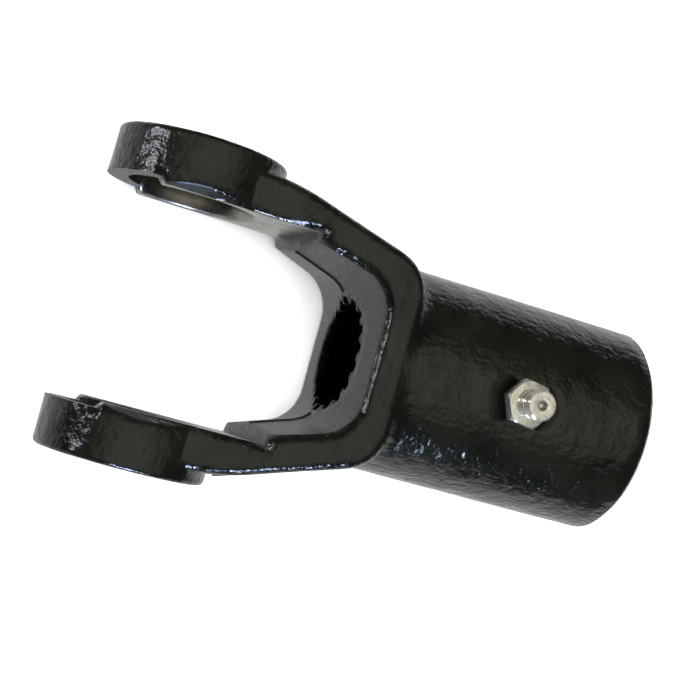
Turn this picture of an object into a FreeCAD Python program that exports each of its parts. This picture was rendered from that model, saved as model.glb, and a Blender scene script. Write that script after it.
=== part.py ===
import FreeCAD, Part

import math
import os

import Sketcher

# A forged driveline yoke: two ears bored for bearing cups, two arms that close on a crotch,
# and a hub with a splined bore, with a grease fitting screwed into the hub's wall.
# Frame: origin at the centre of the cross bearing, +X along the splined bore to the hub's end,
# Y along the cup bores, +Z up along the grease fitting. Lengths in millimetres, angles in degrees.

SIZES = [
    # Ears: two round bosses, bored for the cups and faced on the inside.
    ("cup_bore", 27.0, "diameter of the bearing cup bores"),
    ("cup_chamfer", 0.6, "chamfer at both mouths of each cup bore"),
    ("boss_diameter", 35.9, "outside of the round boss at each ear"),
    ("boss_rounding", 1.2, "forged rounding round each boss's outer face"),
    ("ear_gap", 44.0, "between the two machined inner faces"),
    ("ear_thickness", 11.65, "machined inner face to outer face"),
    ("face_allowance", 1.4, "forging left on each inner face for machining"),
    ("face_reach", 24.4, "bearing centre to the wall where the inner face stops"),
    ("face_width", 29.8, "width of the machined inner face"),
    ("face_bevel", 28.0, "angle of the bevel along the long edges of the inner face"),
    ("tip_relief_depth", 1.4, "how much deeper the inner face lies at the ear's tip"),
    ("tip_relief_reach", 9.4, "bearing centre to the relief at the ear's tip"),
    ("tip_ramp", 0.9, "length of the ramp from the relief to the face"),
    # Arms: they leave the bosses, close on the crotch and end in shoulders on the hub.
    ("arm_setback", 1.65, "boss outer face to the arm's outer face"),
    ("arm_slope", 18.0, "angle between an arm and the hub's axis"),
    ("arm_thickness", 10.4, "arm's thickness square to its faces, at the parting line"),
    ("arm_waist", 31.4, "arm's width beside the boss"),
    ("arm_flare_start", 17.0, "bearing centre to where the arm starts to widen"),
    ("arm_full_depth", 9.4, "length before the shoulders where the arm has the fork's full depth"),
    ("outer_bend_radius", 42.0, "radius where the arm's outer face turns down the slope"),
    ("inner_bend_radius", 14.0, "radius where the arm's inner face turns down the slope"),
    ("flare_radius", 18.0, "radius where the arm's sides start and stop widening"),
    ("rim_rounding", 2.4, "forged rounding along the arms' edges"),
    ("fork_depth", 45.0, "depth of the fork over its flat sides"),
    ("shoulder_reach", 49.4, "bearing centre to the shoulders' end face"),
    ("shoulder_width", 42.9, "width over the arms' outer faces at the shoulders"),
    ("shoulder_radius", 11.7, "radius of the shoulders, at the parting line"),
    ("crotch_wall", 10.6, "bottom of the crotch to the shoulders' end face"),
    ("crotch_radius", 8.0, "radius in the crotch's corners, at the parting line"),
    ("outer_draft", 5.0, "forging draft of the fork's outside"),
    ("inner_draft", 4.0, "forging draft of the gap between the arms"),
    # Hub: a plain cylinder with an involute-pitch spline cut straight through.
    ("hub_diameter", 44.7, "outside of the hub"),
    ("hub_reach", 103.9, "bearing centre to the hub's end face"),
    ("hub_root", 5.0, "how far the hub starts inside the fork"),
    ("hub_chamfer", 1.5, "chamfer on the hub's outer edge"),
    ("spline_teeth", 18.0, "teeth in the bore"),
    ("spline_major", 25.0, "diameter over the bottoms of the tooth spaces"),
    ("spline_depth", 1.25, "height of the teeth"),
    ("spline_flank", 30.0, "pressure angle of the flanks"),
    ("spline_lead_in", 1.0, "chamfer beyond the tooth spaces at the hub's end"),
    # Grease fitting: turned from hexagon bar, with a check ball and spring inside.
    ("fitting_reach", 73.9, "bearing centre to the fitting's axis"),
    ("spot_face_diameter", 12.5, "spot face under the fitting's hexagon"),
    ("spot_face_depth", 0.6, "depth of the spot face below the hub's top"),
    ("shank_diameter", 7.9, "screwed shank of the fitting"),
    ("shank_clearance", 0.05, "radial clearance of the shank in its hole"),
    ("shank_length", 5.5, "length of the shank below its seat"),
    ("shank_chamfer", 0.6, "chamfer at the shank's lower end"),
    ("hex_across_flats", 9.0, "spanner size of the fitting"),
    ("hex_height", 2.75, "height of the hexagon"),
    ("hex_turn", -7.5, "angle from +X to the hexagon's first corner"),
    ("hex_chamfer_angle", 30.0, "slope of the turned chamfer on the hexagon's corners"),
    ("neck_diameter", 6.2, "plain neck above the hexagon"),
    ("groove_start", 5.5, "seat to the lower edge of the coupler groove"),
    ("groove_diameter", 5.1, "bottom of the coupler groove"),
    ("groove_width", 0.6, "width of the coupler groove"),
    ("groove_flare", 0.4, "height of the cone on each side of the coupler groove"),
    ("head_diameter", 6.3, "head that the coupler grips"),
    ("head_face", 5.6, "flat face on top of the head"),
    ("head_height", 8.15, "seat to the top of the head"),
    ("head_cone", 0.4, "height of the cone round the head's face"),
    ("channel_diameter", 3.0, "grease channel that holds the ball and spring"),
    ("mouth_diameter", 2.1, "inlet in the head's face"),
    ("mouth_depth", 0.5, "length of the inlet before the ball's seat"),
    ("ball_diameter", 2.7, "check ball"),
    ("ball_clearance", 0.03, "gap between the ball and its conical seat, and ball and spring"),
    ("stake_diameter", 1.6, "opening in the staked lower end of the channel"),
    ("stake_thickness", 0.7, "thickness of the staked lower end"),
    ("spring_wire", 0.3, "wire of the check spring"),
    ("spring_coil", 2.1, "mean diameter of the check spring"),
    ("spring_turns", 7.0, "turns of the check spring"),
]

PAST = "5.0"            # how far a cutting sketch runs past the solid that it cuts
SPLINE_OVERLAP = "0.4"  # how far a tooth space's sketch reaches inside the bore it cuts into
CREASE = 20.0           # edges whose faces meet at a smaller angle than this count as smooth
TOLERANCE = 0.01        # how far an edge may lie from the place it is looked for


def make_sheet(doc):
    """The spreadsheet of driving dimensions: name, value and meaning, one size a row."""
    sheet = doc.addObject("Spreadsheet::Sheet", "Sizes")
    for row, (alias, value, meaning) in enumerate(SIZES, start=1):
        sheet.set(f"A{row}", alias)
        sheet.set(f"B{row}", str(value))
        sheet.setAlias(f"B{row}", alias)
        sheet.set(f"C{row}", meaning)
    doc.recompute()
    return sheet


def named(formula):
    """A formula in the sheet's own names, such as <ear_gap> / 2, as FreeCAD reads it."""
    return formula.replace("<", "Sizes.").replace(">", "")


def origin_item(body, role):
    """The body's own origin plane or axis with this role, such as XY_Plane or X_Axis."""
    return next(item for item in body.Origin.OriginFeatures if item.Role == role)


def new_sketch(body, name, role, offset="0"):
    """An empty sketch on one of the body's origin planes, moved along its normal by a formula."""
    sketch = body.newObject("Sketcher::SketchObject", name)
    sketch.AttachmentSupport = [(origin_item(body, role), "")]
    sketch.MapMode = "FlatFace"
    sketch.setExpression(".AttachmentOffset.Base.z", named(offset))
    sketch.Document.recompute()
    return sketch


def bind(sketch, constraint, formula):
    """Adds a dimension to the sketch and ties it to the sheet by a formula."""
    index = sketch.addConstraint(constraint)
    sketch.setExpression(f"Constraints[{index}]", named(formula))


def value_of(item, formula):
    """The number that a formula in the sheet's names has now, asked of any object."""
    return float(item.evalExpression(named(formula)))


def draw_circle(sketch, diameter, centre_x="0"):
    """A circle on the sketch's X axis, its diameter and place given by formulas."""
    centre = FreeCAD.Vector(value_of(sketch, centre_x), 0, 0)
    radius = value_of(sketch, diameter) / 2
    circle = sketch.addGeometry(Part.Circle(centre, FreeCAD.Vector(0, 0, 1), radius))
    bind(sketch, Sketcher.Constraint("Diameter", circle, radius * 2), diameter)
    bind(sketch, Sketcher.Constraint("DistanceX", -1, 1, circle, 3, centre.x), centre_x)
    sketch.addConstraint(Sketcher.Constraint("PointOnObject", circle, 3, -1))


def corner_arc(before, corner, after, radius):
    """Start, middle and end of the arc that rounds a corner between two straight sides."""
    to_before = (before - corner).normalize()
    to_after = (after - corner).normalize()
    half_angle = to_before.getAngle(to_after) / 2
    setback = radius / math.tan(half_angle)
    bisector = (to_before + to_after).normalize()
    centre = corner + bisector * (radius / math.sin(half_angle))
    return corner + to_before * setback, centre - bisector * radius, corner + to_after * setback


def draw_outline(sketch, corners):
    """A closed outline through corners, each (x, y) or (x, y, radius) in formulas.

    Each corner is a pinned point. A plain corner joins its two sides there, and a rounded one
    has an arc tangent to both, whose lines still run through the point.
    """
    points = [FreeCAD.Vector(value_of(sketch, c[0]), value_of(sketch, c[1]), 0) for c in corners]
    count = len(points)
    arcs = [None] * count
    for i, corner in enumerate(corners):
        if len(corner) == 3:
            radius = value_of(sketch, corner[2])
            arcs[i] = corner_arc(points[i - 1], points[i], points[(i + 1) % count], radius)
    sides = []
    for i in range(count):
        following = (i + 1) % count
        start = arcs[i][2] if arcs[i] else points[i]
        end = arcs[following][0] if arcs[following] else points[following]
        sides.append(sketch.addGeometry(Part.LineSegment(start, end)))
    for i, corner in enumerate(corners):
        before, after = sides[i - 1], sides[i]
        if arcs[i]:
            pin = sketch.addGeometry(Part.Point(points[i]), True)
            arc = sketch.addGeometry(Part.Arc(*arcs[i]))
            near = 1 if distance_to_start(sketch, arc, arcs[i][0]) < 1e-6 else 2
            sketch.addConstraint(Sketcher.Constraint("Tangent", before, 2, arc, near))
            sketch.addConstraint(Sketcher.Constraint("Tangent", after, 1, arc, 3 - near))
            sketch.addConstraint(Sketcher.Constraint("PointOnObject", pin, 1, before))
            sketch.addConstraint(Sketcher.Constraint("PointOnObject", pin, 1, after))
            radius = sketch.Geometry[arc].Radius
            bind(sketch, Sketcher.Constraint("Radius", arc, radius), corner[2])
            pinned = (pin, 1)
        else:
            sketch.addConstraint(Sketcher.Constraint("Coincident", before, 2, after, 1))
            pinned = (after, 1)
        for kind, place, formula in (("DistanceX", points[i].x, corner[0]),
                                     ("DistanceY", points[i].y, corner[1])):
            bind(sketch, Sketcher.Constraint(kind, -1, 1, *pinned, place), formula)


def distance_to_start(sketch, arc, point):
    """How far the arc's first end lies from a point."""
    return sketch.getPoint(arc, 1).distanceToPoint(point)


def mirrored_corners(corners):
    """The corners followed by their mirror images across the sketch's X axis, in reverse."""
    return corners + [(c[0], f"-({c[1]})", *c[2:]) for c in reversed(corners)]


def check_volume(body, feature, grows):
    """Rebuilds, and stops if the feature didn't add or take away material as it should."""
    before = feature.BaseFeature.Shape.Volume if feature.BaseFeature else 0.0
    body.Document.recompute()
    after = feature.Shape.Volume
    if (after > before) != grows or abs(after - before) < 1e-6:
        raise RuntimeError(f"{feature.Name} changed the volume from {before:.2f} to {after:.2f}")
    return feature


def extrude(body, kind, sketch, forward, back=None, draft=None, flip=False):
    """A Pad or Pocket of a sketch, forward and back along its normal, with an optional draft."""
    feature = body.newObject(f"PartDesign::{kind}", f"{sketch.Name}{kind}")
    feature.Profile = sketch
    feature.Reversed = flip
    feature.setExpression("Length", named(forward))
    if back:
        feature.SideType = "Two sides"
        feature.setExpression("Length2", named(back))
    if draft:
        feature.setExpression("TaperAngle", named(draft))
        feature.setExpression("TaperAngle2", named(draft))
    return check_volume(body, feature, grows=kind == "Pad")


def revolve(body, kind, sketch, axis):
    """A Revolution or Groove of a sketch through a full turn round one of its axes."""
    feature = body.newObject(f"PartDesign::{kind}", f"{sketch.Name}{kind}")
    feature.Profile = sketch
    feature.ReferenceAxis = (sketch, [axis])
    feature.Angle = 360
    return check_volume(body, feature, grows=kind == "Revolution")


def round_edges(body, kind, name, formula, wanted):
    """A Fillet or Chamfer on the edges of the body's tip that the test picks."""
    base = body.Tip
    edges = [f"Edge{i}" for i, edge in enumerate(base.Shape.Edges, start=1) if wanted(edge)]
    feature = body.newObject(f"PartDesign::{kind}", name)
    feature.Base = (base, edges)
    feature.setExpression("Radius" if kind == "Fillet" else "Size", named(formula))
    body.Document.recompute()
    return feature


# Formulas that several outlines share, worked out at the parting line.
SLOPE = "tan(<arm_slope>)"
BOSS_TOP = "(<ear_gap> / 2 + <ear_thickness>)"
ARM_TOP = f"({BOSS_TOP} - <arm_setback>)"
CROTCH = "(<shoulder_reach> - <crotch_wall>)"
ARM_BEND = f"(<shoulder_reach> - ({ARM_TOP} - <shoulder_width> / 2) / {SLOPE})"
FORGED_FACE = "(<ear_gap> / 2 - <face_allowance>)"
INNER_AT_SHOULDER = "(<shoulder_width> / 2 - <arm_thickness> / cos(<arm_slope>))"
INNER_BEND = f"(<shoulder_reach> - ({FORGED_FACE} - {INNER_AT_SHOULDER}) / {SLOPE})"
INNER_AT_CROTCH = f"({INNER_AT_SHOULDER} + <crotch_wall> * {SLOPE})"
BOSS_RADIUS = "<boss_diameter> / 2"
FORK_START = f"({BOSS_RADIUS} / 3)"
HUB_TOP = "<hub_diameter> / 2"
SEAT_HEIGHT = f"({HUB_TOP} - <spot_face_depth>)"
CHANNEL_FLOOR = "(-<shank_length> + <stake_thickness>)"
SEAT_TOP = "(<head_height> - <mouth_depth>)"
BALL_HEIGHT = (f"(<mouth_diameter> / 2 + {SEAT_TOP}"
               " - sqrt(2) * (<ball_diameter> / 2 + <ball_clearance>))")


def forge_fork(body):
    """The forged fork: a drafted block, its sides trimmed to the arms, with the gap cut out."""
    block = new_sketch(body, "ForkOutline", "XY_Plane")
    draw_outline(block, mirrored_corners([
        (FORK_START, ARM_TOP),
        (ARM_BEND, ARM_TOP, "<outer_bend_radius>"),
        ("<shoulder_reach>", "<shoulder_width> / 2", "<shoulder_radius>"),
    ]))
    half_block = f"<fork_depth> / 2 + {PAST}"
    extrude(body, "Pad", block, half_block, half_block, "-<outer_draft>")

    for name, sign in (("UpperSide", ""), ("LowerSide", "-")):
        side = new_sketch(body, name, "XZ_Plane")
        draw_outline(side, [
            ("0", f"{sign}<arm_waist> / 2"),
            ("<arm_flare_start>", f"{sign}<arm_waist> / 2", "<flare_radius>"),
            ("<shoulder_reach> - <arm_full_depth>", f"{sign}<fork_depth> / 2", "<flare_radius>"),
            (f"<shoulder_reach> + {PAST}", f"{sign}<fork_depth> / 2"),
            (f"<shoulder_reach> + {PAST}", f"{sign}(<fork_depth> / 2 + 2 * {PAST})"),
            ("0", f"{sign}(<fork_depth> / 2 + 2 * {PAST})"),
        ])
        reach = f"{BOSS_TOP} + {PAST}"
        extrude(body, "Pocket", side, reach, reach)

    gap = new_sketch(body, "ForgedGap", "XY_Plane")
    draw_outline(gap, mirrored_corners([
        (f"-{BOSS_RADIUS} - {PAST}", FORGED_FACE),
        (INNER_BEND, FORGED_FACE, "<inner_bend_radius>"),
        (CROTCH, INNER_AT_CROTCH, "<crotch_radius>"),
    ]))
    extrude(body, "Pocket", gap, half_block, half_block, "<inner_draft>")


def crease(shape, edge):
    """The angle in degrees between the two faces that meet halfway along an edge."""
    middle = edge.valueAt((edge.FirstParameter + edge.LastParameter) / 2)
    normals = []
    for face in shape.ancestorsOfType(edge, Part.Face):
        u, v = face.Surface.parameter(middle)
        normals.append(face.normalAt(u, v))
    return math.degrees(normals[0].getAngle(normals[-1]))


def round_rims(body):
    """Rounds the rims where the arms' and shoulders' flat sides meet their drafted faces.

    The fork's front plane keeps its sharp edges, as it ends up inside the bosses.
    """
    shape = body.Tip.Shape
    side = value_of(body, "<arm_waist> / 2") - TOLERANCE
    front = value_of(body, FORK_START) + TOLERANCE

    def on_a_rim(edge):
        box = edge.BoundBox
        beside = min(abs(box.ZMin), abs(box.ZMax)) > side
        return beside and box.XMax > front and crease(shape, edge) > CREASE

    return round_edges(body, "Fillet", "RimRounding", "<rim_rounding>", on_a_rim)


def add_bosses(body):
    """The round bosses at the ears: one pad outside the forged gap, mirrored to the other ear."""
    boss = new_sketch(body, "EarBoss", "XZ_Plane", FORGED_FACE)
    draw_circle(boss, "<boss_diameter>")
    pad = extrude(body, "Pad", boss, f"{BOSS_TOP} - {FORGED_FACE}")
    mirror = body.newObject("PartDesign::Mirrored", "EarBossMirror")
    mirror.Originals = [pad]
    mirror.MirrorPlane = (origin_item(body, "XZ_Plane"), [""])
    body.Tip = mirror
    body.Document.recompute()
    top = value_of(boss, BOSS_TOP)
    return round_edges(body, "Fillet", "BossRounding", "<boss_rounding>",
                       lambda edge: abs(abs(edge.BoundBox.YMin) - top) < TOLERANCE
                       and abs(abs(edge.BoundBox.YMax) - top) < TOLERANCE)


def add_hub(body):
    """The hub, from inside the fork to its end face, with its outer edge chamfered."""
    hub = new_sketch(body, "Hub", "YZ_Plane", "<shoulder_reach> - <hub_root>")
    draw_circle(hub, "<hub_diameter>")
    extrude(body, "Pad", hub, "<hub_reach> - <shoulder_reach> + <hub_root>")
    end = value_of(hub, "<hub_reach>")
    return round_edges(body, "Chamfer", "HubChamfer", "<hub_chamfer>",
                       lambda edge: edge.BoundBox.XMin > end - TOLERANCE)


def machine_ears(body):
    """Faces the ears on the inside, relieves their tips and bores them for the cups."""
    half_width = "<face_width> / 2"
    face = "<ear_gap> / 2"
    beyond = f"(<boss_diameter> / 2 + {PAST})"
    faces = new_sketch(body, "EarFaces", "YZ_Plane")
    flare = f"({face} + ({beyond} - {half_width}) * tan(<face_bevel>))"
    draw_outline(faces, [
        (face, f"-{half_width}"), (face, half_width), (flare, beyond), (f"-{flare}", beyond),
        (f"-{face}", half_width), (f"-{face}", f"-{half_width}"), (f"-{flare}", f"-{beyond}"),
        (flare, f"-{beyond}"),
    ])
    extrude(body, "Pocket", faces, beyond, "<face_reach>")

    relief = new_sketch(body, "TipRelief", "XY_Plane")
    draw_outline(relief, mirrored_corners([
        (f"-{beyond}", f"{face} + <tip_relief_depth>"),
        ("-<tip_relief_reach>", f"{face} + <tip_relief_depth>"),
        ("-<tip_relief_reach> + <tip_ramp>", face),
    ]))
    extrude(body, "Pocket", relief, beyond, beyond)

    bore = new_sketch(body, "CupBores", "XY_Plane")
    wall, mouth = "<cup_bore> / 2", f"<cup_bore> / 2 + <cup_chamfer> + {PAST}"
    draw_outline(bore, [
        ("0", f"-({BOSS_TOP} + {PAST})"),
        (mouth, f"-({BOSS_TOP} + {PAST})"),
        (wall, f"-({BOSS_TOP} - <cup_chamfer>)"),
        (wall, f"-({face} + <cup_chamfer>)"),
        (mouth, f"-({face} - {PAST})"),
        (mouth, f"{face} - {PAST}"),
        (wall, f"{face} + <cup_chamfer>"),
        (wall, f"{BOSS_TOP} - <cup_chamfer>"),
        (mouth, f"{BOSS_TOP} + {PAST}"),
        ("0", f"{BOSS_TOP} + {PAST}"),
    ])
    revolve(body, "Groove", bore, "V_Axis")


def cut_spline(body):
    """The splined bore: a plain bore at the teeth's tips and one tooth space, patterned."""
    through = f"<hub_reach> + {PAST}"
    bore = new_sketch(body, "SplineBore", "YZ_Plane")
    draw_circle(bore, "<spline_major> - 2 * <spline_depth>")
    extrude(body, "Pocket", bore, through, flip=True)

    pitch = "(<spline_major> - <spline_depth>)"
    half_at_pitch = f"(pi * {pitch} / <spline_teeth> / 4)"
    flank = "tan(<spline_flank>)"
    inner = f"(<spline_major> / 2 - <spline_depth> - {SPLINE_OVERLAP})"
    outer = "(<spline_major> / 2)"
    half_inner = f"({half_at_pitch} + ({pitch} / 2 - {inner}) * {flank})"
    half_outer = f"({half_at_pitch} - ({outer} - {pitch} / 2) * {flank})"
    space = new_sketch(body, "ToothSpace", "YZ_Plane")
    draw_outline(space, mirrored_corners([(inner, half_inner), (outer, half_outer)]))
    cut = extrude(body, "Pocket", space, through, flip=True)
    pattern = body.newObject("PartDesign::PolarPattern", "ToothSpaces")
    pattern.Originals = [cut]
    pattern.Axis = (origin_item(body, "X_Axis"), [""])
    pattern.Angle = 360
    pattern.setExpression("Occurrences", named("<spline_teeth>"))
    body.Tip = pattern
    body.Document.recompute()

    lead_in = new_sketch(body, "SplineLeadIn", "XY_Plane")
    mouth = "(<spline_major> / 2 + <spline_lead_in>)"
    draw_outline(lead_in, [
        (f"<hub_reach> + {PAST}", f"{mouth} + {PAST}"),
        (f"<hub_reach> - ({mouth} - {inner})", inner),
        (f"<hub_reach> + {PAST}", inner),
    ])
    revolve(body, "Groove", lead_in, "H_Axis")


def drill_grease_hole(body):
    """The hole for the grease fitting, from the bore to the hub's top, and its spot face."""
    hole = new_sketch(body, "GreaseHole", "XY_Plane")
    draw_circle(hole, "<shank_diameter> + 2 * <shank_clearance>", "<fitting_reach>")
    extrude(body, "Pocket", hole, f"{HUB_TOP} + {PAST}", flip=True)
    spot = new_sketch(body, "SpotFace", "XY_Plane", SEAT_HEIGHT)
    draw_circle(spot, "<spot_face_diameter>", "<fitting_reach>")
    extrude(body, "Pocket", spot, PAST, flip=True)


def new_body(doc, name, label):
    """An empty body, named as its STEP file will be."""
    body = doc.addObject("PartDesign::Body", name)
    body.Label = label
    return body


def place_on_fitting_axis(item, height):
    """Puts a sub-part's own origin on the grease fitting's axis, at a height given by a formula."""
    item.setExpression(".Placement.Base.x", named("<fitting_reach>"))
    item.setExpression(".Placement.Base.z", named(height))


def build_yoke_forging(doc):
    """The forging, in the order it is made: forged form first, then the machining."""
    body = new_body(doc, "YokeForging", "yoke_forging")
    for stage in (forge_fork, round_rims, add_bosses, add_hub, machine_ears,
                  cut_spline, drill_grease_hole):
        stage(body)
    return body


def build_grease_fitting_body(doc):
    """The fitting's body: a hexagon with a turned shank, neck and head, and a stepped channel."""
    body = new_body(doc, "GreaseFittingBody", "grease_fitting_body")
    flat = "(<hex_across_flats> / 2)"
    corner = f"({flat} / cos(30))"
    hexagon = new_sketch(body, "Hexagon", "XY_Plane")
    draw_outline(hexagon, [
        (f"{corner} * cos(<hex_turn> + {turn})", f"{corner} * sin(<hex_turn> + {turn})")
        for turn in range(0, 360, 60)
    ])
    extrude(body, "Pad", hexagon, "<hex_height>")

    turned = new_sketch(body, "TurnedProfile", "XZ_Plane")
    shank, neck = "<shank_diameter> / 2", "<neck_diameter> / 2"
    groove, head = "<groove_diameter> / 2", "<head_diameter> / 2"
    groove_end = "<groove_start> + <groove_width>"
    draw_outline(turned, [
        ("0", "-<shank_length>"),
        (f"{shank} - <shank_chamfer>", "-<shank_length>"),
        (shank, "-<shank_length> + <shank_chamfer>"),
        (shank, "0"),
        (neck, "0"),
        (neck, "<groove_start> - <groove_flare>"),
        (groove, "<groove_start>"),
        (groove, groove_end),
        (head, f"{groove_end} + <groove_flare>"),
        (head, "<head_height> - <head_cone>"),
        ("<head_face> / 2", "<head_height>"),
        ("0", "<head_height>"),
    ])
    revolve(body, "Revolution", turned, "V_Axis")

    chamfer = new_sketch(body, "HexagonChamfer", "XZ_Plane")
    drop = f"({corner} + {PAST} - {flat}) * tan(<hex_chamfer_angle>)"
    draw_outline(chamfer, [
        (flat, "<hex_height>"),
        (f"{corner} + {PAST}", f"<hex_height> - {drop}"),
        (f"{corner} + {PAST}", "<hex_height>"),
    ])
    revolve(body, "Groove", chamfer, "V_Axis")

    channel = new_sketch(body, "Channel", "XZ_Plane")
    stake, wall, mouth = "<stake_diameter> / 2", "<channel_diameter> / 2", "<mouth_diameter> / 2"
    draw_outline(channel, [
        ("0", f"-<shank_length> - {PAST}"),
        (stake, f"-<shank_length> - {PAST}"),
        (stake, CHANNEL_FLOOR),
        (wall, CHANNEL_FLOOR),
        (wall, f"{SEAT_TOP} - ({wall} - {mouth})"),
        (mouth, SEAT_TOP),
        (mouth, f"<head_height> + {PAST}"),
        ("0", f"<head_height> + {PAST}"),
    ])
    revolve(body, "Groove", channel, "V_Axis")
    place_on_fitting_axis(body, SEAT_HEIGHT)
    return body


def build_check_ball(doc):
    """The check ball, held by its spring against the 45 degree seat under the inlet."""
    ball = doc.addObject("Part::Sphere", "CheckBall")
    ball.Label = "check_ball"
    ball.setExpression("Radius", named("<ball_diameter> / 2"))
    place_on_fitting_axis(ball, f"{SEAT_HEIGHT} + {BALL_HEIGHT}")
    return ball


def build_check_spring(doc):
    """The check spring: round wire wound between the staked end and the ball."""
    body = new_body(doc, "CheckSpring", "check_spring")
    coil = "(<spring_coil> / 2)"
    foot = f"({CHANNEL_FLOOR} + <spring_wire> / 2 + <ball_clearance>)"
    reach = "(<ball_diameter> / 2 + <spring_wire> / 2 + <ball_clearance>)"
    top = f"({BALL_HEIGHT} - sqrt({reach} ^ 2 - {coil} ^ 2))"
    wire = new_sketch(body, "SpringWire", "XZ_Plane")
    draw_circle(wire, "<spring_wire>", coil)
    helix = body.newObject("PartDesign::AdditiveHelix", "SpringCoil")
    helix.Profile = wire
    helix.ReferenceAxis = (wire, ["V_Axis"])
    helix.Mode = "height-turns-angle"
    helix.setExpression("Height", named(f"{top} - {foot}"))
    helix.setExpression("Turns", named("<spring_turns>"))
    place_on_fitting_axis(body, f"{SEAT_HEIGHT} + {foot}")
    doc.recompute()
    return body


def main():
    """Builds every sub-part, checks the document and writes one STEP file a sub-part."""
    doc = FreeCAD.newDocument("ForgedYoke")
    make_sheet(doc)
    builders = (build_yoke_forging, build_grease_fitting_body, build_check_ball,
                build_check_spring)
    sub_parts = [build(doc) for build in builders]
    doc.recompute()
    for item in doc.Objects:
        if "Invalid" in item.State or "Error" in item.State:
            raise RuntimeError(f"{item.Name} failed: {item.State}")
    os.makedirs("parts", exist_ok=True)
    for sub_part in sub_parts:
        shape = sub_part.Shape
        if shape.isNull() or not shape.isValid() or len(shape.Solids) != 1:
            raise RuntimeError(f"{sub_part.Label} is not one valid solid")
        shape.exportStep(f"parts/{sub_part.Label}.step")
        print(f"{sub_part.Label}: {shape.Volume:.1f} mm3, {len(shape.Faces)} faces")


main()
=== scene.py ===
import logging
import math
from dataclasses import dataclass
from enum import Enum

import bmesh
import bpy
from mathutils import Matrix, Vector


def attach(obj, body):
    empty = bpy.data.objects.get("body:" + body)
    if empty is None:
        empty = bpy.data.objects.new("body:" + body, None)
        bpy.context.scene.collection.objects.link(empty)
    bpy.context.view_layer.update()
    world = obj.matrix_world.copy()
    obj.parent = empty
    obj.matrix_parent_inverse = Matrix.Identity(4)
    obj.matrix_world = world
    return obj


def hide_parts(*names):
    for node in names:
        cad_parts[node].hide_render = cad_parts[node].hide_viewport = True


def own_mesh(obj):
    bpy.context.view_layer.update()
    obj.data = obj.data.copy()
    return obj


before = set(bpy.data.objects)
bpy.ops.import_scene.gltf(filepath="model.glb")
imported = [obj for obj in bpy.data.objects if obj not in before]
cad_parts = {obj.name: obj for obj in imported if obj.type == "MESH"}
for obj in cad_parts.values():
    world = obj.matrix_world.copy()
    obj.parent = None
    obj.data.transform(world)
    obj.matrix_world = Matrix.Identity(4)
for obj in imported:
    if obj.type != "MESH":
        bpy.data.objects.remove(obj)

# A forged driveline yoke, lying on a pale table. Lengths are in millimetres and turn into
# Blender's metres through MM. The frame's origin is the centre of the cross bearing, with
# X along the hub, Y along the cup bores and Z up along the grease fitting.

MM = 0.001
WELD_DISTANCE = 0.0005 * MM
ENAMEL_IOR = 1.5

# The sRGB curve: a straight foot up to the knee, and a power curve above it.
SRGB_KNEE = 0.04045
SRGB_FOOT = 12.92
SRGB_OFFSET = 0.055
SRGB_SCALE = 1.055
SRGB_POWER = 2.4

log = logging.getLogger("yoke")


class Node(str, Enum):
    """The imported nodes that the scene's own pieces replace."""

    FORGING = "yoke_forging"
    FITTING = "grease_fitting_body"
    BALL = "check_ball"
    SPRING = "check_spring"


class Body(str, Enum):
    """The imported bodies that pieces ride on."""

    YOKE = "yoke"
    BALL = "check_ball"


class Zone(int, Enum):
    """The finishes of the forging, in the order of its material slots."""

    SKIN = 0
    SADDLE = 1
    MACHINED = 2
    # The spline bore, whose bare steel is coloured near-black as painted shade.
    BORE_IN_PAINTED_SHADE = 3


def linear(colour: str) -> tuple[float, float, float, float]:
    """Turns an sRGB colour such as "#1b1c18" into linear light.

    Args:
        colour: six hexadecimal digits after a hash sign.

    Returns:
        Red, green, blue and an alpha of 1.
    """
    channels = [int(colour[i:i + 2], 16) / 255 for i in (1, 3, 5)]
    light = [c / SRGB_FOOT if c <= SRGB_KNEE
             else ((c + SRGB_OFFSET) / SRGB_SCALE) ** SRGB_POWER for c in channels]
    return (*light, 1.0)


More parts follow.
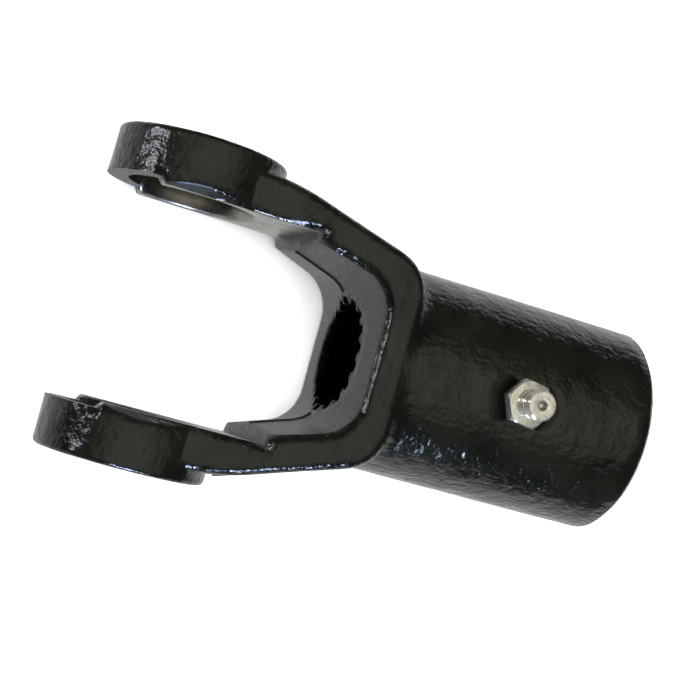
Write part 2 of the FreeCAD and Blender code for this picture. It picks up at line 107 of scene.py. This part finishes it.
class Shader:
    """A material's node tree, with one helper that adds a node and fills its sockets."""

    USUAL_NOISE = (0.3, 0.7)

    def __init__(self, name: str) -> None:
        self.material = bpy.data.materials.new(name)
        self.material.use_nodes = True
        self.tree = self.material.node_tree
        self.tree.nodes.clear()
        self.output = self.add("ShaderNodeOutputMaterial")
        self.place = self.add("ShaderNodeTexCoord").outputs["Object"]

    def add(self, kind: str, settings: dict | None = None, **sockets) -> bpy.types.Node:
        """Adds a node.

        Args:
            kind: the node's type name.
            settings: properties of the node, such as its operation.
            sockets: a value or an output for each input, by name with underscores for spaces.

        Returns:
            The new node.
        """
        node = self.tree.nodes.new(kind)
        for key, value in (settings or {}).items():
            setattr(node, key, value)
        for key, value in sockets.items():
            index = int(key[1:]) if key[0] == "_" else key.replace("_", " ")
            socket = node.inputs[index]
            if isinstance(value, bpy.types.NodeSocket):
                self.tree.links.new(value, socket)
            else:
                socket.default_value = value
        return node

    def math(self, operation: str, *values) -> bpy.types.NodeSocket:
        """One arithmetic step on numbers or outputs, and its result."""
        inputs = {f"_{i}": value for i, value in enumerate(values)}
        return self.add("ShaderNodeMath", {"operation": operation}, **inputs).outputs[0]

    def noise(self, grain_mm: float, detail: float = 2.0, stretch=(1, 1, 1)) -> bpy.types.NodeSocket:
        """Noise whose grains measure about grain_mm, longer along an axis with a low stretch."""
        scaled = self.add("ShaderNodeMapping", Vector=self.place, Scale=stretch).outputs[0]
        return self.add("ShaderNodeTexNoise", Vector=scaled, Scale=1 / (grain_mm * MM),
                        Detail=detail).outputs["Fac"]

    def between(self, factor, low: float, high: float) -> bpy.types.NodeSocket:
        """A number that goes from low to high as the noise goes through its usual spread."""
        least, most = self.USUAL_NOISE
        return self.add("ShaderNodeMapRange", {"clamp": True}, Value=factor, From_Min=least,
                        From_Max=most, To_Min=low, To_Max=high).outputs[0]

    def tint(self, factor, first: str, second: str) -> bpy.types.NodeSocket:
        """A colour between two sRGB colours."""
        mix = self.add("ShaderNodeMix", {"data_type": "RGBA"}, Factor=factor)
        mix.inputs["A"].default_value = linear(first)
        mix.inputs["B"].default_value = linear(second)
        return mix.outputs["Result"]

    def bump(self, height, depth_mm: float, normal=None) -> bpy.types.NodeSocket:
        """A bump whose full height is depth_mm, on top of another bump if there is one."""
        sockets = {"Height": height, "Distance": depth_mm * MM, "Strength": 1.0}
        if normal is not None:
            sockets["Normal"] = normal
        return self.add("ShaderNodeBump", **sockets).outputs[0]

    def finish(self, **sockets) -> bpy.types.Material:
        """Ends the tree in one Principled shader with these inputs."""
        surface = self.add("ShaderNodeBsdfPrincipled", **sockets)
        self.tree.links.new(surface.outputs[0], self.output.inputs["Surface"])
        return self.material


@dataclass(frozen=True)
class ForgedPaint:
    """Gloss black enamel, brushed thick over the scale and pits of a hammer forging."""

    name: str = "gloss_paint_on_forging"
    grain_mm: float = 1.1
    swell_mm: float = 4.5
    grain_depth_mm: float = 0.18
    swell_depth_mm: float = 0.5
    grain_detail: float = 4.0
    swell_detail: float = 2.0
    mottle_mm: float = 9.0
    roughness: tuple[float, float] = (0.07, 0.2)

    def build(self) -> bpy.types.Material:
        """Returns the material: dielectric enamel, IOR 1.5, with a clear wet surface."""
        s = Shader(self.name)
        grain = s.noise(self.grain_mm, self.grain_detail)
        swell = s.noise(self.swell_mm, self.swell_detail)
        normal = s.bump(swell, self.swell_depth_mm)
        normal = s.bump(grain, self.grain_depth_mm, normal)
        mottle = s.between(s.noise(self.mottle_mm), 0.0, 1.0)
        return s.finish(Base_Color=s.tint(mottle, "#070806", "#11120d"),
                        Roughness=s.between(grain, *self.roughness), IOR=ENAMEL_IOR,
                        Normal=normal)


@dataclass(frozen=True)
class SmoothPaint:
    """The same enamel where it lies over a trimmed or milled face: thin, even and satin."""

    name: str = "satin_paint_on_cut_face"
    grain_mm: float = 0.8
    grain_depth_mm: float = 0.012
    grain_detail: float = 3.0
    mottle_mm: float = 6.0
    roughness: tuple[float, float] = (0.34, 0.48)

    def build(self) -> bpy.types.Material:
        """Returns the material: dielectric enamel, IOR 1.5, half worn to a grey sheen."""
        s = Shader(self.name)
        grain = s.noise(self.grain_mm, self.grain_detail)
        mottle = s.between(s.noise(self.mottle_mm), 0.0, 1.0)
        return s.finish(Base_Color=s.tint(mottle, "#0b0b0a", "#131312"),
                        Roughness=s.between(grain, *self.roughness), IOR=ENAMEL_IOR,
                        Normal=s.bump(grain, self.grain_depth_mm))


@dataclass(frozen=True)
class MachinedSteel:
    """Bare medium carbon steel, faced and bored, with the fine marks of the tool."""

    name: str
    first: str
    second: str
    roughness: float
    marks_mm: float = 0.25
    marks_depth_mm: float = 0.006
    stretch: tuple[float, float, float] = (0.06, 1.0, 1.0)
    stain_mm: float = 4.0
    roughness_spread: float = 0.14
    metallic: float = 1.0

    def build(self) -> bpy.types.Material:
        """Returns the material: metal, with tool marks stretched along the cut."""
        s = Shader(self.name)
        marks = s.noise(self.marks_mm, 2.0, self.stretch)
        stain = s.between(s.noise(self.stain_mm, 3.0), 0.0, 1.0)
        return s.finish(Base_Color=s.tint(stain, self.first, self.second),
                        Metallic=self.metallic,
                        Roughness=s.between(marks, self.roughness,
                                            self.roughness + self.roughness_spread),
                        Normal=s.bump(marks, self.marks_depth_mm))


@dataclass(frozen=True)
class TurnedPlating:
    """Zinc plating over turned free-cutting steel, with rings left by the tool."""

    name: str
    first: str
    second: str
    roughness: float
    ring_mm: float = 0.28
    ring_depth_mm: float = 0.02
    spot_mm: float = 1.2
    wear_mm: float = 0.5
    roughness_spread: float = 0.1
    metallic: float = 0.92

    def build(self) -> bpy.types.Material:
        """Returns the material: metal, with rings that follow each other along Z."""
        s = Shader(self.name)
        height = s.add("ShaderNodeSeparateXYZ", Vector=s.place).outputs["Z"]
        turns = s.math("MULTIPLY", height, 2 * math.pi / (self.ring_mm * MM))
        rings = s.math("SINE", turns)
        spots = s.between(s.noise(self.spot_mm, 3.0), 0.0, 1.0)
        return s.finish(Base_Color=s.tint(spots, self.first, self.second),
                        Metallic=self.metallic,
                        Roughness=s.between(s.noise(self.wear_mm), self.roughness,
                                            self.roughness + self.roughness_spread),
                        Normal=s.bump(rings, self.ring_depth_mm))


PAINT = ForgedPaint()
SADDLE_PAINT = SmoothPaint()
FACED = MachinedSteel("faced_steel", "#9c988d", "#6f6b61", 0.26)
# Near-black steel for the spline bore: painted shade, standing in for the little light that reaches
# inside the bore.
BORE_IN_PAINTED_SHADE = MachinedSteel("broached_steel_with_painted_shade", "#141414", "#0b0b0b", 0.4)
PLATING = TurnedPlating("zinc_plated_steel", "#f4f1e4", "#d6d1bf", 0.18)
BALL_STEEL = MachinedSteel("bearing_steel", "#d9d6cc", "#cfccc2", 0.08, stretch=(1, 1, 1))
WIRE_STEEL = MachinedSteel("spring_wire", "#8d8c88", "#7b7a76", 0.3)


def mesh_copy(node: Node, name: str) -> bpy.types.Object:
    """A piece of the scene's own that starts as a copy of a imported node's mesh.

    Args:
        node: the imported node.
        name: the new object's name.

    Returns:
        The new object, at the origin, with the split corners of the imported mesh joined.
    """
    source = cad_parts[node.value]
    mesh = source.data.copy()
    mesh.name = name
    mesh.transform(source.matrix_world)
    mesh.materials.clear()
    piece = bpy.data.objects.new(name, mesh)
    bpy.context.scene.collection.objects.link(piece)
    shape = bmesh.new()
    shape.from_mesh(mesh)
    bmesh.ops.remove_doubles(shape, verts=shape.verts, dist=WELD_DISTANCE)
    bmesh.ops.dissolve_degenerate(shape, edges=shape.edges, dist=WELD_DISTANCE)
    shape.to_mesh(mesh)
    shape.free()
    return piece


def smooth_by_angle(mesh: bpy.types.Mesh, degrees: float) -> None:
    """Shades a mesh smooth, apart from edges that are sharper than an angle."""
    mesh.shade_smooth()
    mesh.set_sharp_from_angle(angle=math.radians(degrees))


def evaluated(piece: bpy.types.Object) -> None:
    """Turns a piece's live modifiers into its mesh and removes them."""
    graph = bpy.context.evaluated_depsgraph_get()
    result = bpy.data.meshes.new_from_object(piece.evaluated_get(graph))
    piece.modifiers.clear()
    piece.data = result


class GeometryTree:
    """A Geometry Nodes group with one geometry input and output and a helper for its nodes."""

    def __init__(self, name: str) -> None:
        self.tree = bpy.data.node_groups.new(name, "GeometryNodeTree")
        sockets = self.tree.interface
        sockets.new_socket("Geometry", in_out="INPUT", socket_type="NodeSocketGeometry")
        sockets.new_socket("Geometry", in_out="OUTPUT", socket_type="NodeSocketGeometry")
        self.start = self.tree.nodes.new("NodeGroupInput")
        self.end = self.tree.nodes.new("NodeGroupOutput")

    def number(self, name: str) -> bpy.types.NodeSocket:
        """Adds a number that the modifier sets, and gives its output in the tree."""
        self.tree.interface.new_socket(name, in_out="INPUT", socket_type="NodeSocketFloat")
        return self.start.outputs[name]

    def add(self, kind: str, settings: dict | None = None, inputs: dict | None = None):
        """Adds a node with its settings, and a value or an output for each input."""
        node = self.tree.nodes.new(kind)
        for key, value in (settings or {}).items():
            setattr(node, key, value)
        for key, value in (inputs or {}).items():
            if isinstance(value, bpy.types.NodeSocket):
                self.tree.links.new(value, node.inputs[key])
            else:
                node.inputs[key].default_value = value
        return node

    def apply(self, piece: bpy.types.Object, **numbers: float) -> None:
        """Runs the tree on a piece with these numbers, and keeps the result as its mesh."""
        modifier = piece.modifiers.new(self.tree.name, "NODES")
        modifier.node_group = self.tree
        for item in self.tree.interface.items_tree:
            if item.name in numbers:
                modifier[item.identifier] = numbers[item.name]
        evaluated(piece)


@dataclass(frozen=True)
class ForgingSizes:
    """Sizes of the forging's zones and skin, in millimetres and degrees.

    facing, upright and wall_facing are compared with one part of a face's unit normal.
    """

    bore_radius: float = 13.5
    bore_mouth: float = 0.7
    face_from: float = 21.9
    face_to: float = 22.6
    relief_to: float = 24.0
    facing: float = 0.5
    face_end: float = 24.3
    face_half_width: float = 15.0
    wall_to: float = 24.6
    wall_facing: float = 0.9
    gap_end: float = 41.5
    gap_half_width: float = 21.0
    upright: float = 0.3
    spline_radius: float = 12.6
    spline_from: float = 36.0
    longest_edge: float = 3.6
    splits: int = 5
    skin_grain: float = 2.6
    skin_swell: float = 9.0
    skin_depth: float = 0.09
    swell_depth: float = 0.16
    skin_detail: float = 3.0
    swell_detail: float = 1.0
    sharp_angle: float = 28.0


class Forging:
    """The painted forging with its machined faces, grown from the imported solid."""

    MASK = "forged_skin"

    def __init__(self, sizes: ForgingSizes) -> None:
        self.sizes = sizes

    def zone_at(self, centre: Vector, normal: Vector) -> Zone:
        """Which finish a face of the forging has, by where it lies and which way it looks."""
        s = self.sizes
        x, y, z = centre / MM
        from_bore = math.hypot(x, z)
        inward = -normal.y * math.copysign(1.0, y)
        if from_bore < s.bore_radius + s.bore_mouth and abs(y) > s.face_from:
            return Zone.MACHINED
        # The spline bore's faces take the near-black steel: painted shade inside the bore.
        if math.hypot(y, z) < s.spline_radius and x > s.spline_from:
            return Zone.BORE_IN_PAINTED_SHADE
        faced = s.face_from < abs(y) < s.face_to and inward > s.facing
        if faced and x < s.face_end and abs(z) < s.face_half_width:
            return Zone.MACHINED
        upright = abs(normal.z) < s.upright
        in_gap = abs(y) < s.gap_half_width and x < s.gap_end and upright
        relieved = s.face_from < abs(y) < s.relief_to and x < 0 and inward > s.facing
        on_wall = s.face_end < x < s.wall_to and normal.x < -s.wall_facing
        return Zone.SADDLE if in_gap or on_wall or relieved else Zone.SKIN

    def mark_zones(self, shape: bmesh.types.BMesh) -> None:
        """Gives each face its finish, and each point of forged skin a weight of 1."""
        mask = shape.verts.layers.float.new(self.MASK)
        for face in shape.faces:
            face.material_index = int(self.zone_at(face.calc_center_median(), face.normal))
        for point in shape.verts:
            forged = all(face.material_index == Zone.SKIN for face in point.link_faces)
            point[mask] = 1.0 if forged else 0.0

    def split_long_edges(self, shape: bmesh.types.BMesh) -> None:
        """Halves long edges until the skin has enough points to carry its relief."""
        limit = self.sizes.longest_edge * MM
        for _ in range(self.sizes.splits):
            long_edges = [edge for edge in shape.edges if edge.calc_length() > limit]
            if not long_edges:
                return
            bmesh.ops.subdivide_edges(shape, edges=long_edges, cuts=1)
            bmesh.ops.triangulate(shape, faces=[f for f in shape.faces if len(f.verts) > 3])

    def roughen(self, piece: bpy.types.Object) -> None:
        """Moves the skin's points against their normals, by a fine and a broad noise."""
        s = self.sizes
        g = GeometryTree("ForgedSkin")
        grain, swell = g.number("Grain"), g.number("Swell")
        depth, swell_depth = g.number("Depth"), g.number("SwellDepth")
        mask = g.add("GeometryNodeInputNamedAttribute", {"data_type": "FLOAT"},
                     {"Name": self.MASK}).outputs["Attribute"]
        sink = None
        for scale, amount, detail in ((grain, depth, s.skin_detail),
                                      (swell, swell_depth, s.swell_detail)):
            noise = g.add("ShaderNodeTexNoise", None, {"Scale": scale, "Detail": detail})
            part = g.add("ShaderNodeMath", {"operation": "MULTIPLY"},
                         {0: noise.outputs["Fac"], 1: amount}).outputs[0]
            sink = part if sink is None else g.add("ShaderNodeMath", {"operation": "ADD"},
                                                   {0: sink, 1: part}).outputs[0]
        masked = g.add("ShaderNodeMath", {"operation": "MULTIPLY"}, {0: sink, 1: mask})
        normal = g.add("GeometryNodeInputNormal").outputs[0]
        inward = g.add("ShaderNodeVectorMath", {"operation": "SCALE"},
                       {0: normal, "Scale": masked.outputs[0]}).outputs[0]
        offset = g.add("ShaderNodeVectorMath", {"operation": "SCALE"},
                       {0: inward, "Scale": -1.0}).outputs[0]
        moved = g.add("GeometryNodeSetPosition", None,
                      {"Geometry": g.start.outputs["Geometry"], "Offset": offset})
        g.tree.links.new(moved.outputs["Geometry"], g.end.inputs["Geometry"])
        g.apply(piece, Grain=1 / (s.skin_grain * MM), Swell=1 / (s.skin_swell * MM),
                Depth=s.skin_depth * MM, SwellDepth=s.swell_depth * MM)

    def build(self) -> bpy.types.Object:
        """Builds the forging.

        Returns:
            The finished piece.
        """
        piece = mesh_copy(Node.FORGING, "painted_forging")
        for finish in (PAINT, SADDLE_PAINT, FACED, BORE_IN_PAINTED_SHADE):
            piece.data.materials.append(finish.build())
        shape = bmesh.new()
        shape.from_mesh(piece.data)
        self.split_long_edges(shape)
        shape.normal_update()
        self.mark_zones(shape)
        shape.to_mesh(piece.data)
        shape.free()
        self.roughen(piece)
        smooth_by_angle(piece.data, self.sizes.sharp_angle)
        log.info("forging: %d faces", len(piece.data.polygons))
        return piece


@dataclass(frozen=True)
class RidgeSizes:
    """Where the parting ridge runs and how thick it is, in millimetres and degrees."""

    radius: float = 0.34
    inner_from: float = 24.6
    inner_to: float = 41.0
    inner_half_width: float = 21.0
    clear_of_spline: float = 12.9
    outer_from: float = 19.5
    outer_to: float = 49.6
    clear_of_hub: float = 22.45
    bead_sides: int = 8
    sharp_angle: float = 60.0


class PartingRidge:
    """The trimmed flash where the two dies met, halfway up the arms."""

    def __init__(self, sizes: RidgeSizes) -> None:
        self.sizes = sizes

    def is_parting(self, middle: Vector) -> bool:
        """Whether a point of the outline at the parting plane carries the ridge."""
        s = self.sizes
        x, y = middle.x / MM, abs(middle.y / MM)
        inside = s.inner_from < x < s.inner_to and s.clear_of_spline < y < s.inner_half_width
        outside = s.outer_from < x < s.outer_to and y > s.clear_of_hub
        return inside or outside

    def outline(self) -> bpy.types.Object:
        """The forging's outline at the parting plane, as loose edges."""
        path = mesh_copy(Node.FORGING, "parting_ridge")
        shape = bmesh.new()
        shape.from_mesh(path.data)
        everything = shape.verts[:] + shape.edges[:] + shape.faces[:]
        cut = bmesh.ops.bisect_plane(shape, geom=everything, plane_co=(0, 0, 0),
                                     plane_no=(0, 0, 1))["geom_cut"]
        kept = {item for item in cut if isinstance(item, bmesh.types.BMEdge)
                and self.is_parting((item.verts[0].co + item.verts[1].co) / 2)}
        bmesh.ops.delete(shape, geom=shape.faces[:], context="FACES_ONLY")
        bmesh.ops.delete(shape, geom=[e for e in shape.edges if e not in kept], context="EDGES")
        loose = [point for point in shape.verts if not point.link_edges]
        bmesh.ops.delete(shape, geom=loose, context="VERTS")
        shape.to_mesh(path.data)
        shape.free()
        return path

    def build(self) -> bpy.types.Object:
        """Sweeps a thin round bead along the outline, half sunk in the forging.

        Returns:
            The finished ridge.
        """
        ridge = self.outline()
        g = GeometryTree("PartingBead")
        radius = g.number("Radius")
        curve = g.add("GeometryNodeMeshToCurve", None, {"Mesh": g.start.outputs["Geometry"]})
        circle = g.add("GeometryNodeCurvePrimitiveCircle", None,
                       {"Resolution": self.sizes.bead_sides, "Radius": radius})
        bead = g.add("GeometryNodeCurveToMesh", None,
                     {"Curve": curve.outputs[0], "Profile Curve": circle.outputs[0],
                      "Fill Caps": True})
        paint = g.add("GeometryNodeSetMaterial", None,
                      {"Geometry": bead.outputs[0], "Material": PAINT.build()})
        g.tree.links.new(paint.outputs[0], g.end.inputs["Geometry"])
        g.apply(ridge, Radius=self.sizes.radius * MM)
        smooth_by_angle(ridge.data, self.sizes.sharp_angle)
        return ridge


@dataclass(frozen=True)
class FittingSizes:
    """Sizes of the grease fitting's softened edges and its spring, in millimetres and degrees."""

    edge_rounding: float = 0.12
    edge_segments: int = 2
    sharp_angle: float = 32.0
    axis_reach: float = 73.9
    spring_foot: float = 16.98
    spring_kept: float = 0.9


class GreaseFitting:
    """The plated grease fitting with its check ball and spring."""

    def __init__(self, sizes: FittingSizes) -> None:
        self.sizes = sizes

    def soften(self, piece: bpy.types.Object) -> None:
        """Rounds a piece's sharp edges, so that they catch the light."""
        bevel = piece.modifiers.new("Soften", "BEVEL")
        bevel.width = self.sizes.edge_rounding * MM
        bevel.segments = self.sizes.edge_segments
        bevel.limit_method = "ANGLE"
        bevel.angle_limit = math.radians(self.sizes.sharp_angle)
        evaluated(piece)

    def squeeze_with_ball(self, spring: bpy.types.Object) -> None:
        """Gives the spring a mesh of its own."""
        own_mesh(spring)

    def build(self) -> dict[Node, bpy.types.Object]:
        """Builds the three pieces.

        Returns:
            Each piece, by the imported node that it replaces.
        """
        names = {Node.FITTING: ("plated_fitting", PLATING), Node.BALL: ("inlet_ball", BALL_STEEL),
                 Node.SPRING: ("return_spring", WIRE_STEEL)}
        pieces = {}
        for node, (name, finish) in names.items():
            piece = mesh_copy(node, name)
            if node is Node.FITTING:
                self.soften(piece)
            piece.data.materials.append(finish.build())
            smooth_by_angle(piece.data, self.sizes.sharp_angle)
            pieces[node] = piece
        return pieces


@dataclass(frozen=True)
class Panel:
    """A light: a rectangle in the air that faces the yoke. Sizes in metres."""

    name: str
    place: tuple[float, float, float]
    size: tuple[float, float]
    colour: str
    radiance: float
    in_reflections: bool = True


class Studio:
    """The table, the lights, the surroundings and the camera."""

    AIM = Vector((45 * MM, 0.0, 0.0))
    TABLE_HEIGHT = -22.5 * MM
    TABLE_SIZE = 6.0
    # Painted reflection: how the table's glow, seen only in reflections, fades with the distance
    # from the aim.
    PAINTED_REFLECTION_GLOW = {"From_Min": 0.12, "From_Max": 0.26, "To_Min": 1.0, "To_Max": 0.04}
    PATCH_SCALE = 14.0
    PATCHES = {"From Min": 0.38, "From Max": 0.62, "To Min": 0.25, "To Max": 1.7}
    CEILING = {"From Min": 0.55, "From Max": 0.98, "To Min": 0.03, "To Max": 0.62}
    CAMERA_PLACE = Vector((-59.98 * MM, -16.19 * MM, 301.5 * MM))
    CAMERA_LOOK = Vector((0.28259, 0.07019, -0.95667))
    CAMERA_ROLL = math.radians(91.83)
    CAMERA_SHIFT = (0.0714, -0.05)
    LENS = 77.14
    CLIP_START = 0.01
    PANELS = (
        Panel("top_light", (0.1, 0.1, 1.6), (1.6, 1.6), "#ffffff", 8.5, in_reflections=False),
        Panel("side_window", (0.05, -0.70, 0.17), (0.26, 0.10), "#bcd3ff", 85.0),
        Panel("front_window", (-0.75, 0.10, 0.20), (0.10, 0.28), "#f4f6ff", 18.0),
    )

    def table(self) -> bpy.types.Object:
        """The table that the yoke lies on: white to the camera, and to reflections a painted glow,
        bright near the yoke and fading away from it.
        """
        bpy.ops.mesh.primitive_plane_add(size=self.TABLE_SIZE, location=(0, 0, self.TABLE_HEIGHT))
        table = bpy.context.object
        table.name = "table"
        s = Shader("table_with_painted_reflection")
        path = s.add("ShaderNodeLightPath")
        white = s.add("ShaderNodeBsdfDiffuse", Color=linear("#ffffff"))
        near = s.add("ShaderNodeVectorMath", {"operation": "DISTANCE"}, _0=s.place,
                     _1=tuple(self.AIM)).outputs["Value"]
        glow = s.add("ShaderNodeMapRange", Value=near, **self.PAINTED_REFLECTION_GLOW).outputs[0]
        # Painted reflection: glossy rays see a glowing grey pool on the table in place of a lit
        # table; camera rays see plain white.
        grey = s.add("ShaderNodeEmission", Color=linear("#e6e8ea"), Strength=glow)
        mix = s.add("ShaderNodeMixShader", _0=path.outputs["Is Glossy Ray"],
                    _1=white.outputs[0], _2=grey.outputs[0])
        s.tree.links.new(mix.outputs[0], s.output.inputs["Surface"])
        table.data.materials.append(s.material)
        return table

    def lights(self) -> list[bpy.types.Object]:
        """The light panels, each turned to face the yoke."""
        lights = []
        for panel in self.PANELS:
            data = bpy.data.lights.new(panel.name, "AREA")
            data.shape = "RECTANGLE"
            data.size, data.size_y = panel.size
            data.color = linear(panel.colour)[:3]
            data.energy = panel.radiance * math.pi * panel.size[0] * panel.size[1]
            light = bpy.data.objects.new(panel.name, data)
            light.location = panel.place
            to_yoke = self.AIM - Vector(panel.place)
            light.rotation_euler = to_yoke.to_track_quat("-Z", "Y").to_euler()
            light.visible_glossy = panel.in_reflections
            light.visible_camera = False
            bpy.context.scene.collection.objects.link(light)
            lights.append(light)
        return lights

    def surroundings(self) -> None:
        """A room with a pale ceiling and darker walls, white where the camera sees it."""
        world = bpy.data.worlds.new("room")
        world.use_nodes = True
        bpy.context.scene.world = world
        nodes, links = world.node_tree.nodes, world.node_tree.links
        nodes.clear()
        direction = nodes.new("ShaderNodeTexCoord").outputs["Generated"]
        up = nodes.new("ShaderNodeSeparateXYZ")
        links.new(direction, up.inputs[0])
        patches = nodes.new("ShaderNodeTexNoise")
        patches.inputs["Scale"].default_value = self.PATCH_SCALE
        links.new(direction, patches.inputs["Vector"])
        contrast = nodes.new("ShaderNodeMapRange")
        for name, value in self.PATCHES.items():
            contrast.inputs[name].default_value = value
        links.new(patches.outputs["Fac"], contrast.inputs["Value"])
        ceiling = nodes.new("ShaderNodeMapRange")
        ceiling.interpolation_type = "SMOOTHSTEP"
        for name, value in self.CEILING.items():
            ceiling.inputs[name].default_value = value
        links.new(up.outputs["Z"], ceiling.inputs["Value"])
        patchy = nodes.new("ShaderNodeMath")
        patchy.operation = "MULTIPLY"
        links.new(ceiling.outputs[0], patchy.inputs[0])
        links.new(contrast.outputs[0], patchy.inputs[1])
        path = nodes.new("ShaderNodeLightPath")
        strength = nodes.new("ShaderNodeMix")
        links.new(path.outputs["Is Camera Ray"], strength.inputs["Factor"])
        links.new(patchy.outputs[0], strength.inputs["A"])
        strength.inputs["B"].default_value = 1.0
        background = nodes.new("ShaderNodeBackground")
        background.inputs["Color"].default_value = linear("#fffdf0")
        links.new(strength.outputs["Result"], background.inputs["Strength"])
        output = nodes.new("ShaderNodeOutputWorld")
        links.new(background.outputs[0], output.inputs["Surface"])

    def camera(self) -> None:
        """The camera, high over the ears, looking down and a little towards the hub."""
        data = bpy.data.cameras.new("camera")
        data.lens = self.LENS
        data.shift_x, data.shift_y = self.CAMERA_SHIFT
        data.clip_start = self.CLIP_START
        camera = bpy.data.objects.new("camera", data)
        level = self.CAMERA_LOOK.to_track_quat("-Z", "Y").to_matrix()
        turned = level @ Matrix.Rotation(self.CAMERA_ROLL, 3, "Z")
        camera.matrix_world = Matrix.Translation(self.CAMERA_PLACE) @ turned.to_4x4()
        bpy.context.scene.collection.objects.link(camera)
        bpy.context.scene.camera = camera

    def build(self) -> None:
        self.surroundings()
        self.camera()
        self.table()
        self.lights()
        bpy.context.scene.view_settings.view_transform = "Standard"


def main() -> None:
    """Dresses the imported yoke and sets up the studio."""
    logging.basicConfig(level=logging.INFO)
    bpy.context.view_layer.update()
    pieces = {Node.FORGING: Forging(ForgingSizes()).build()}
    fitting = GreaseFitting(FittingSizes())
    pieces.update(fitting.build())
    ridge = PartingRidge(RidgeSizes()).build()
    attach(ridge, Body.YOKE.value)
    for node, piece in pieces.items():
        body = Body.BALL if node is Node.BALL else Body.YOKE
        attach(piece, body.value)
        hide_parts(node.value)
    Studio().build()
    fitting.squeeze_with_ball(pieces[Node.SPRING])


if __name__ == "__main__":
    main()
